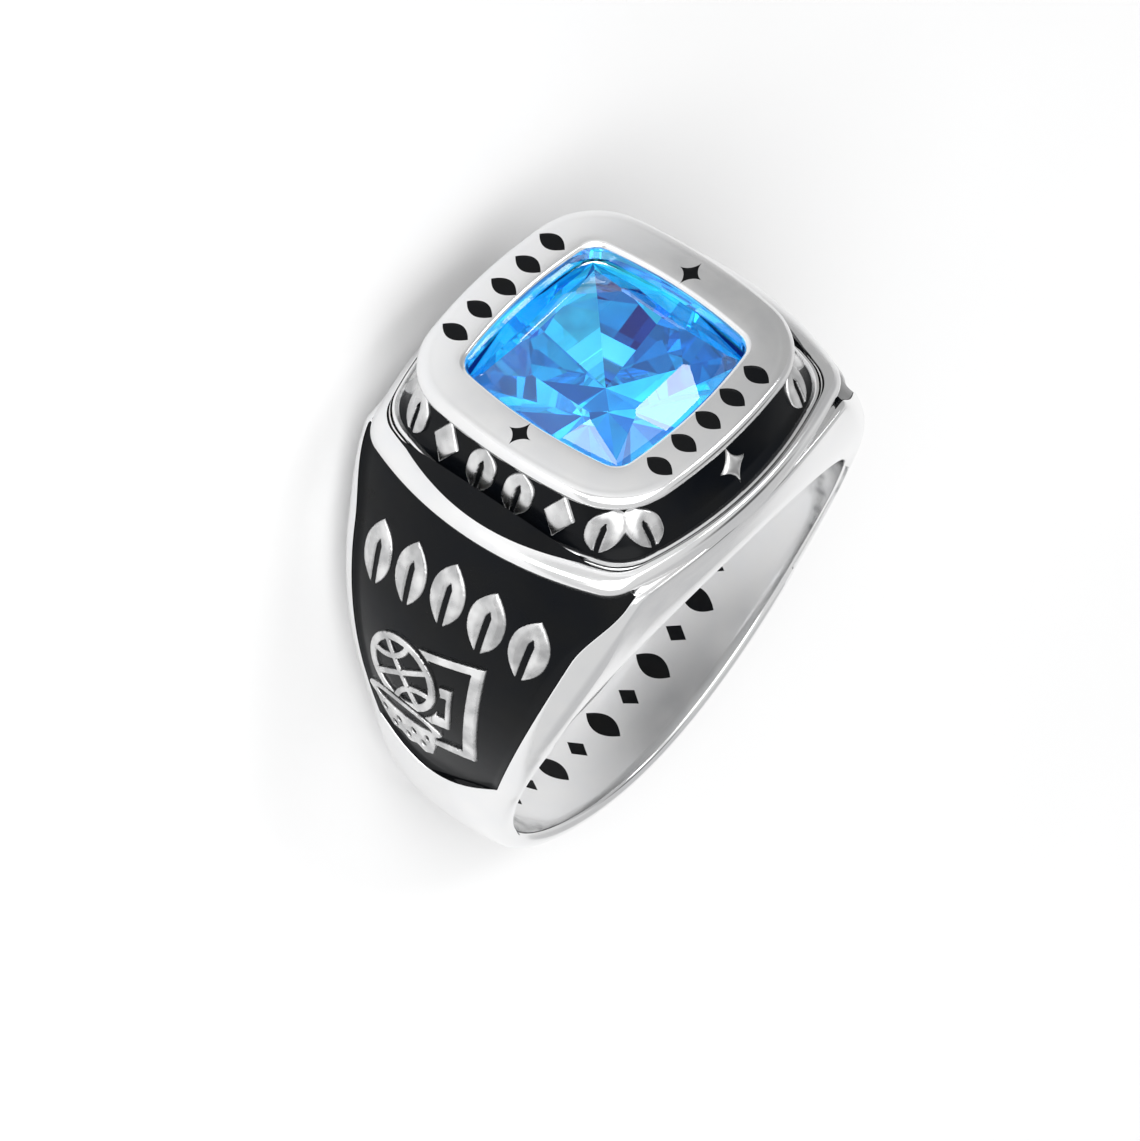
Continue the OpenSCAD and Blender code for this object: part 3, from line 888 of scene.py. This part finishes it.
def gem(name):
    """Azure glass with a slight cloud of colour."""
    material, nodes, links, shader = new_material(name)
    cloud = noise(nodes, links, 260, 1)
    tint = ramp(nodes, links, cloud, [(0.35, (0.24, 0.64, 0.9)), (0.65, (0.36, 0.76, 0.96))])
    links.new(tint, shader.inputs["Base Color"])
    dullness = ramp(nodes, links, noise(nodes, links, 3000, 1), [(0.4, 0.0), (0.8, 0.015)])
    links.new(dullness, shader.inputs["Roughness"])
    shader.inputs["Transmission Weight"].default_value = 1
    shader.inputs["IOR"].default_value = 1.76
    return material


def foil_with_painted_glow(name, glow):
    """The stone's mirrored back: its facets throw the light up again, bluer, and give out a painted glow of
    their own that stands in for light coming back through the stone.
    """
    material, nodes, links, shader = new_material(name)
    shader.inputs["Metallic"].default_value = 1
    cloud = noise(nodes, links, 260, 1)
    tint = ramp(nodes, links, cloud, [(0.35, (0.1, 0.46, 0.8)), (0.65, (0.22, 0.64, 0.86))])
    links.new(tint, shader.inputs["Base Color"])
    dullness = ramp(nodes, links, noise(nodes, links, 3000, 1), [(0.4, 0.01), (0.8, 0.04)])
    links.new(dullness, shader.inputs["Roughness"])
    drift = noise(nodes, links, 700, 2)
    weak = tuple(0.7 * v for v in glow)
    strong = tuple(1.15 * v for v in glow)
    # Painted light: the facets' own emission
    links.new(ramp(nodes, links, drift, [(0.35, weak), (0.65, strong)]), shader.inputs["Emission Color"])
    shader.inputs["Emission Strength"].default_value = 1
    return material


# Pieces

# Shares by which the drawn motifs differ from the source's sizes, as they stand for larger ones
WALL_TALLER = 1.2
WALL_LEAF_WIDER = 1.18
WALL_LOZENGE_WIDER = 1.15
WALL_STAR = 0.55
RIM_LEAF = (0.72, 1.15)
RIM_STAR = 0.62

# Motifs on two kinds of sides of the wall, by turns, each at a share of the lip's half width
WALL_LONG_ROW = [(-0.66, "leaf"), (-0.4, "lozenge"), (-0.13, "leaf"),
                 (0.13, "leaf"), (0.4, "lozenge"), (0.66, "leaf")]
WALL_SHORT_ROW = [(-0.64, "leaf"), (0, "star"), (0.64, "leaf")]

RIM_LEAF_PLACES = (-3, -1.5, 0, 1.5, 3)

# The marks in the finger hole: how many, the first one's angle, the angle between two, and their place across
BORE_MARKS = 15
BORE_MARKS_FROM = -36
BORE_MARKS_STEP = 9.6
BORE_MARKS_ACROSS = -0.72

# Depths of the enamel in mm: at its middle, along a panel's and the wall's border, and at its foot
ENAMEL_MIDDLE = 0.17
ENAMEL_PANEL_EDGE = 0.06
ENAMEL_WALL_EDGE = 0.07
ENAMEL_FOOT = 0.44


def rim_marks():
    """The rim's marks: the side, the place along it and the motif of each."""
    marks = []
    for side in range(4):
        if side % 2 == 0:
            marks.append((side, 0, star(MARK_H * RIM_STAR, 3.3)))
        else:
            w, h = MARK_H * RIM_LEAF[0], MARK_H * RIM_LEAF[1]
            marks += [(side, s, leaf(w, h, 0)) for s in RIM_LEAF_PLACES]
    return marks


def make_casting(marks):
    """The casting's two meshes: the band with a pocket for the stone, and the head with its rim's marks."""
    band = make_band(polished)
    pocket_half = 4.4
    pocket_top = level(HEAD_Z, pocket_half, pocket_half, OPENING_BOW)
    cut(band, [mesh_piece("pocket", *loft([pocket_top] + seat_levels()[2:]), None)])
    head = make_head(polished)
    cutters = []
    for i, (side, s, shape) in enumerate(marks):
        cutters.append(relief("cutter%d" % i, shape, on_rim(side, s), None, None, step=0.3, edge=0.01,
                              top=-0.3, low=-0.3, foot=ENGRAVE))
    cut(head, cutters)
    # The stone's seat and the opening's wall take a brighter copy of the silver: painted light
    head.data.materials.append(bright)
    for polygon in head.data.polygons:
        x, y, z = from_row(polygon.center)
        if max(abs(x), abs(y)) < STONE_W / 2 + 0.1 and z < HEAD_Z - 0.3:
            polygon.material_index = 1
    for piece in (band, head):
        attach(piece, "root")
        face_outward(piece.data, 38)
    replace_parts(band, "ring_body")


def make_rim_fill(marks):
    """The black fill of the rim's marks."""
    for i, (side, s, shape) in enumerate(marks):
        relief("rim_mark_%02d" % i, shape, on_rim(side, s), ink, "enamel", step=0.12, edge=0.05,
               top=0.07, low=0.07, foot=ENGRAVE - 0.01)


def make_shoulder_enamel(name, half_turn, node):
    """Enamel in a shoulder panel, drawn up a little along the panel's border."""
    rows, cols = 90, 60
    inset = 0.03
    turn = np.degrees(inset / BASE_R)

    def sheet(edge_depth, middle_depth):
        rings = []
        for i in range(rows + 1):
            ring = []
            for j in range(cols + 1):
                v = 2 * j / cols - 1
                low = panel_foot(v)
                a = mix(low + turn, PANEL_TOP - turn, i / rows)
                half = float(panel_half(a))
                b = v * (half - inset)
                near = min(half * (1 - abs(v)), (a - low) * np.pi / 180 * BASE_R)
                depth = mix(edge_depth, middle_depth, float(smooth_step(near / 0.35)))
                ring.append(at(a, float(crowned_r(a, b)) - depth, b))
            rings.append(ring)
        return np.array(rings)

    outside = sheet(ENAMEL_PANEL_EDGE, ENAMEL_MIDDLE)
    inside = sheet(ENAMEL_FOOT, ENAMEL_FOOT)
    rings = np.concatenate([outside, inside[:, ::-1]], axis=1)
    if half_turn:
        rings = rings * [-1, -1, 1]
    points, faces = loft(rings)
    piece = mesh_piece(name, points, faces, black, smooth=50, slot="enamel")
    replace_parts(piece, node)


def make_wall_enamel():
    """Enamel round the head's wall, drawn up a little along its foot and its top."""
    top = 0.985
    rows = 14

    def ring(t, depth):
        half = mix(WALL_FOOT[0], WALL_TOP[0], t) - depth
        return level(mix(WALL_FOOT[1], WALL_TOP[1], t), half, half, blend_bow(LIP_BOW, RIM_BOW, t))

    rings = []
    for i in range(rows + 1):
        t = mix(0.0, top, i / rows)
        rings.append(ring(t, mix(ENAMEL_WALL_EDGE, ENAMEL_MIDDLE, float(smooth_step(min(t, 1 - t) / 0.16)))))
    rings += [ring(top, ENAMEL_FOOT), ring(0.0, ENAMEL_FOOT)]
    points, faces = loft(rings, closed=True)
    piece = mesh_piece("wall_enamel", points, faces, black, smooth=50, slot="enamel")
    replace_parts(piece, "head_enamel")


def make_shoulder_motifs():
    """A row of five leaves, and the ball and hoop under it, on each shoulder."""
    leaves_share = 0.809
    leaves_a = mix(PANEL_LOW, BEAD_ANGLE, leaves_share)
    spread = float(panel_half(leaves_a)) - LEAF_W / 2 - LEAF_ROOM
    # How far to the side the net's foot reaches, as a share of the panel's half width
    net_share = 0.65
    # Below and beside the figure's middle, as shares of its height: the net's foot, and the hoop and its side
    net_down, hoop_down, hoop_out = 0.5225, 0.24, 0.4
    hoop_a = panel_foot(net_share) + np.degrees(np.arcsin((net_down * HOOP_H + NET_ROOM) / BASE_R))
    # Where the hoop's side comes nearest to the panel's
    near_a = hoop_a - np.degrees(np.arcsin(hoop_down * HOOP_H / float(shoulder_r(hoop_a))))
    hoop_b = HOOP_ROOM + hoop_out * HOOP_H - float(panel_half(near_a))
    for half_turn, word in ((False, "left"), (True, "right")):
        for i in range(-2, 3):
            place = on_band(leaves_a - abs(i) * 0.6, i / 2 * spread, -3 * i, half_turn)
            shape = leaf(LEAF_W, LEAF_H, 0.24, 2.3)
            relief("leaf_%s_%d" % (word, i + 2), shape, place, satin, "silver", crown=0.1)
        place = on_band(hoop_a, hoop_b, 0, half_turn)
        relief("hoop_%s" % word, ball_and_hoop(HOOP_H), place, satin, "silver", step=0.1, edge=0.07,
               crown=0.03, crown_reach=0.15)


def wall_motif(kind):
    tall = WALL_MOTIF_H * WALL_TALLER
    if kind == "leaf":
        return leaf(WALL_MOTIF_W * WALL_LEAF_WIDER, tall, 0.2, 2.8)
    if kind == "lozenge":
        return lozenge(WALL_MOTIF_W * WALL_LOZENGE_WIDER, tall)
    return star(WALL_MOTIF_H * WALL_STAR, 3.2)


def make_wall_motifs():
    for side in range(4):
        motifs = WALL_LONG_ROW if side % 2 == 0 else WALL_SHORT_ROW
        for i, (share, kind) in enumerate(motifs):
            place = on_wall(side, share * LIP_HALF)
            relief("wall_%s_%d_%d" % (kind, side, i), wall_motif(kind), place, satin, "silver", step=0.09,
                   edge=0.07, low=0.08, crown=0.03)


def make_bore_marks():
    """Flat black marks in the finger hole, leaves and lozenges by turns."""
    for i in range(BORE_MARKS):
        shape = leaf(0.95, 1.85, 0) if i % 2 == 0 else lozenge(0.75, 1.1)
        place = in_bore(BORE_MARKS_FROM - BORE_MARKS_STEP * i, BORE_MARKS_ACROSS)
        relief("bore_mark_%02d" % i, shape, place, ink, "enamel", step=0.2, edge=0.02, top=-0.006,
               low=-0.003, foot=0.05)


# Floor, light and camera

# Soft cards in the studio: direction in the ring's frame, cosines at the core and the edge, and brightness
CARDS = [
    ((-0.466, 0.858, -0.209), 0.992, 0.965, 0.12),
    ((-0.3, 0.5, -0.81), 0.95, 0.8, 0.62),
    ((-0.75, 0.5, 0.43), 0.95, 0.8, 0.5),
]

# Brightness of the studio from its lowest point, 0, to its highest, 1
DOME = [(0.45, 0.8), (0.75, 0.78), (1.0, 0.8)]

# Square lights: azimuth round the ring and elevation in degrees, distance and size in metres, and watts
LIGHTS = [
    ("key", 42, 48, 0.5, 0.6, 1.75),
    ("sparkle", -46, 50, 0.5, 0.12, 0.3),
    ("low", 38, 9, 0.4, 0.12, 0.2),
]
LIGHT_AIM = (0, 0.003, 0.006)

# Backdrop beside the floor's seen part, in metres: its ends along, its place across and its height
BACKDROP_ENDS = (-0.16, 0)
BACKDROP_Y = -0.05
BACKDROP_H = 0.05
# Its brightness over the stretch that the rim reflects
BACKDROP_STRETCH = (-0.028, -0.002)
BACKDROP_GREYS = [(0.0, 0.44), (0.5, 0.78), (1.0, 1.1)]

# Way back to the camera in the ring's own frame and the camera's roll, in degrees, and its distance in mm
CAMERA_AZIMUTH = 49.926
CAMERA_ELEVATION = 52.444
CAMERA_ROLL = -0.197
CAMERA_FAR = 600.0

# The photograph's frame, where the finger hole's middle is in it, and its pixels to the millimetre there
PHOTO_W, PHOTO_H = 1140.0, 1141.0
MIDDLE_PX = (606.39, 596.61)
PX_PER_MM = 24.604


def stage_panel(name, corners, material):
    """A flat panel that is not part of the ring."""
    mesh = bpy.data.meshes.new(name)
    mesh.from_pydata(corners, [], [(0, 1, 2, 3)])
    mesh.materials.append(material)
    panel = bpy.data.objects.new(name, mesh)
    bpy.context.scene.collection.objects.link(panel)


def make_floor():
    half = 2.0
    material, nodes, links, shader = new_material("pale_floor")
    cloud = noise(nodes, links, 40, 2)
    links.new(ramp(nodes, links, cloud, [(0.3, 0.9), (0.7, 0.92)]), shader.inputs["Base Color"])
    shader.inputs["Roughness"].default_value = 0.9
    shader.inputs["Specular IOR Level"].default_value = 0.2
    stage_panel("floor", [(-half, -half, 0), (half, -half, 0), (half, half, 0), (-half, half, 0)], material)


def make_backdrop():
    """A grey to white panel, out of the picture, so that the flat of the rim reflects a gradient."""
    material, nodes, links, shader = new_material("grey_backdrop")
    coordinates = nodes.new("ShaderNodeTexCoord")
    along = nodes.new("ShaderNodeSeparateXYZ")
    links.new(coordinates.outputs["Object"], along.inputs["Vector"])
    share = nodes.new("ShaderNodeMapRange")
    share.inputs["From Min"].default_value = BACKDROP_STRETCH[0]
    share.inputs["From Max"].default_value = BACKDROP_STRETCH[1]
    links.new(along.outputs["X"], share.inputs["Value"])
    greys = ramp(nodes, links, share.outputs["Result"], BACKDROP_GREYS)
    links.new(greys, shader.inputs["Emission Color"])
    shader.inputs["Emission Strength"].default_value = 1
    shader.inputs["Base Color"].default_value = (0.02, 0.02, 0.02, 1)
    shader.inputs["Roughness"].default_value = 0.9
    low, high = BACKDROP_ENDS
    corners = [(x, BACKDROP_Y, z) for x, z in ((low, 0), (high, 0), (high, BACKDROP_H), (low, BACKDROP_H))]
    stage_panel("backdrop", corners, material)


def make_light(name, azimuth, elevation, dist, size, power):
    """A square soft light."""
    t, p = np.radians(azimuth), np.radians(elevation)
    place = Vector((np.sin(t) * np.cos(p), -np.cos(t) * np.cos(p), np.sin(p))) * dist
    data = bpy.data.lights.new(name, "AREA")
    data.size = size
    data.energy = power
    light = bpy.data.objects.new(name, data)
    light.location = place
    light.rotation_euler = (place - Vector(LIGHT_AIM)).to_track_quat("Z", "Y").to_euler()
    bpy.context.scene.collection.objects.link(light)


def ramp_toward(nodes, links, source, direction, stops):
    """A ramp over how far the source points along a direction: 0 is straight away from it, 1 along it."""
    dot = nodes.new("ShaderNodeVectorMath")
    dot.operation = "DOT_PRODUCT"
    dot.inputs[1].default_value = direction
    links.new(source, dot.inputs[0])
    share = nodes.new("ShaderNodeMapRange")
    share.inputs["From Min"].default_value = -1
    share.inputs["From Max"].default_value = 1
    links.new(dot.outputs["Value"], share.inputs["Value"])
    return ramp(nodes, links, share.outputs["Result"], stops)


def make_world():
    """A white studio: a bright dome with soft grey cards."""
    world = bpy.data.worlds.new("studio")
    bpy.context.scene.world = world
    world.use_nodes = True
    nodes, links = world.node_tree.nodes, world.node_tree.links
    ray = nodes.new("ShaderNodeTexCoord").outputs["Generated"]
    light = ramp_toward(nodes, links, ray, (0, 0, 1), DOME)
    for direction, inner, outer, value in CARDS:
        stops = [((1 + outer) / 2, 0.0), ((1 + inner) / 2, 1.0)]
        share = ramp_toward(nodes, links, ray, turn_row(direction).normalized(), stops)
        card = nodes.new("ShaderNodeMix")
        card.data_type = "RGBA"
        links.new(share, card.inputs["Factor"])
        links.new(light, card.inputs["A"])
        card.inputs["B"].default_value = (value, value, value * 1.01, 1)
        light = card.outputs["Result"]
    links.new(light, nodes["Background"].inputs["Color"])
    nodes["Background"].inputs["Strength"].default_value = 1.0


def make_camera():
    """The camera at the photograph's angle to the ring."""
    az, el, roll = np.radians([CAMERA_AZIMUTH, CAMERA_ELEVATION, CAMERA_ROLL])
    back = np.array([np.cos(el) * np.sin(az), np.cos(el) * np.cos(az), np.sin(el)])
    right = np.cross([0, 0, 1], back)
    right /= np.linalg.norm(right)
    up = np.cross(back, right)
    right, up = np.cos(roll) * right + np.sin(roll) * up, np.cos(roll) * up - np.sin(roll) * right
    data = bpy.data.cameras.new("camera")
    data.sensor_fit = "HORIZONTAL"
    data.sensor_width = 36
    data.lens = PX_PER_MM * CAMERA_FAR / PHOTO_W * data.sensor_width
    data.shift_x = (PHOTO_W / 2 - MIDDLE_PX[0]) / PHOTO_W
    data.shift_y = (MIDDLE_PX[1] - PHOTO_H / 2) / PHOTO_W
    data.clip_start, data.clip_end = 0.01, 10
    camera = bpy.data.objects.new("camera", data)
    matrix = Matrix.Identity(4)
    for i, axis in enumerate([turn_row(right), turn_row(up), turn_row(back)]):
        for j in range(3):
            matrix[j][i] = axis[j]
    matrix.translation = Vector(to_row(back * CAMERA_FAR))
    camera.matrix_world = matrix
    bpy.context.scene.collection.objects.link(camera)
    bpy.context.scene.camera = camera


# The ring

# Each silver paints shade into its grooves and creases
polished = silver("polished_silver", rough=0.14, tone=0.84, groove_shade=0.06)
# A brighter copy of the polished silver, without shade in its grooves: painted light for the stone's seat
bright = silver("seat_silver_painted_light", rough=0.1, tone=0.95, groove_shade=1.0)
# Satin's large uneven paints patchy grey shading on the motifs, in place of reflected gradients
satin = silver("satin_silver", rough=0.27, tone=0.8, groove_shade=0.35, reach=0.25, cloud_and_painted_shading=0.42)
black = enamel("black_enamel", base=0.003, rough=0.2)
ink = enamel("black_fill", base=0.002, rough=0.4)
azure = gem("azure_stone")
# The stone's back: mirrors, each with a painted glow, deep, azure or cyan
glowing_foils = [
    foil_with_painted_glow("foil_deep_painted_glow", (0.002, 0.012, 0.09)),
    foil_with_painted_glow("foil_azure_painted_glow", (0.004, 0.12, 0.28)),
    foil_with_painted_glow("foil_cyan_painted_glow", (0.04, 0.42, 0.5)),
]

marks_on_rim = rim_marks()
make_casting(marks_on_rim)
make_rim_fill(marks_on_rim)
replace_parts(make_stone(azure, glowing_foils), "stone")
make_shoulder_enamel("panel_enamel_left", False, "shoulder_enamel_left")
make_shoulder_enamel("panel_enamel_right", True, "shoulder_enamel_right")
make_wall_enamel()
make_shoulder_motifs()
make_wall_motifs()
make_bore_marks()

# The scene

make_floor()
make_backdrop()
for light in LIGHTS:
    make_light(*light)
make_world()
make_camera()
bpy.context.scene.view_settings.view_transform = "Standard"
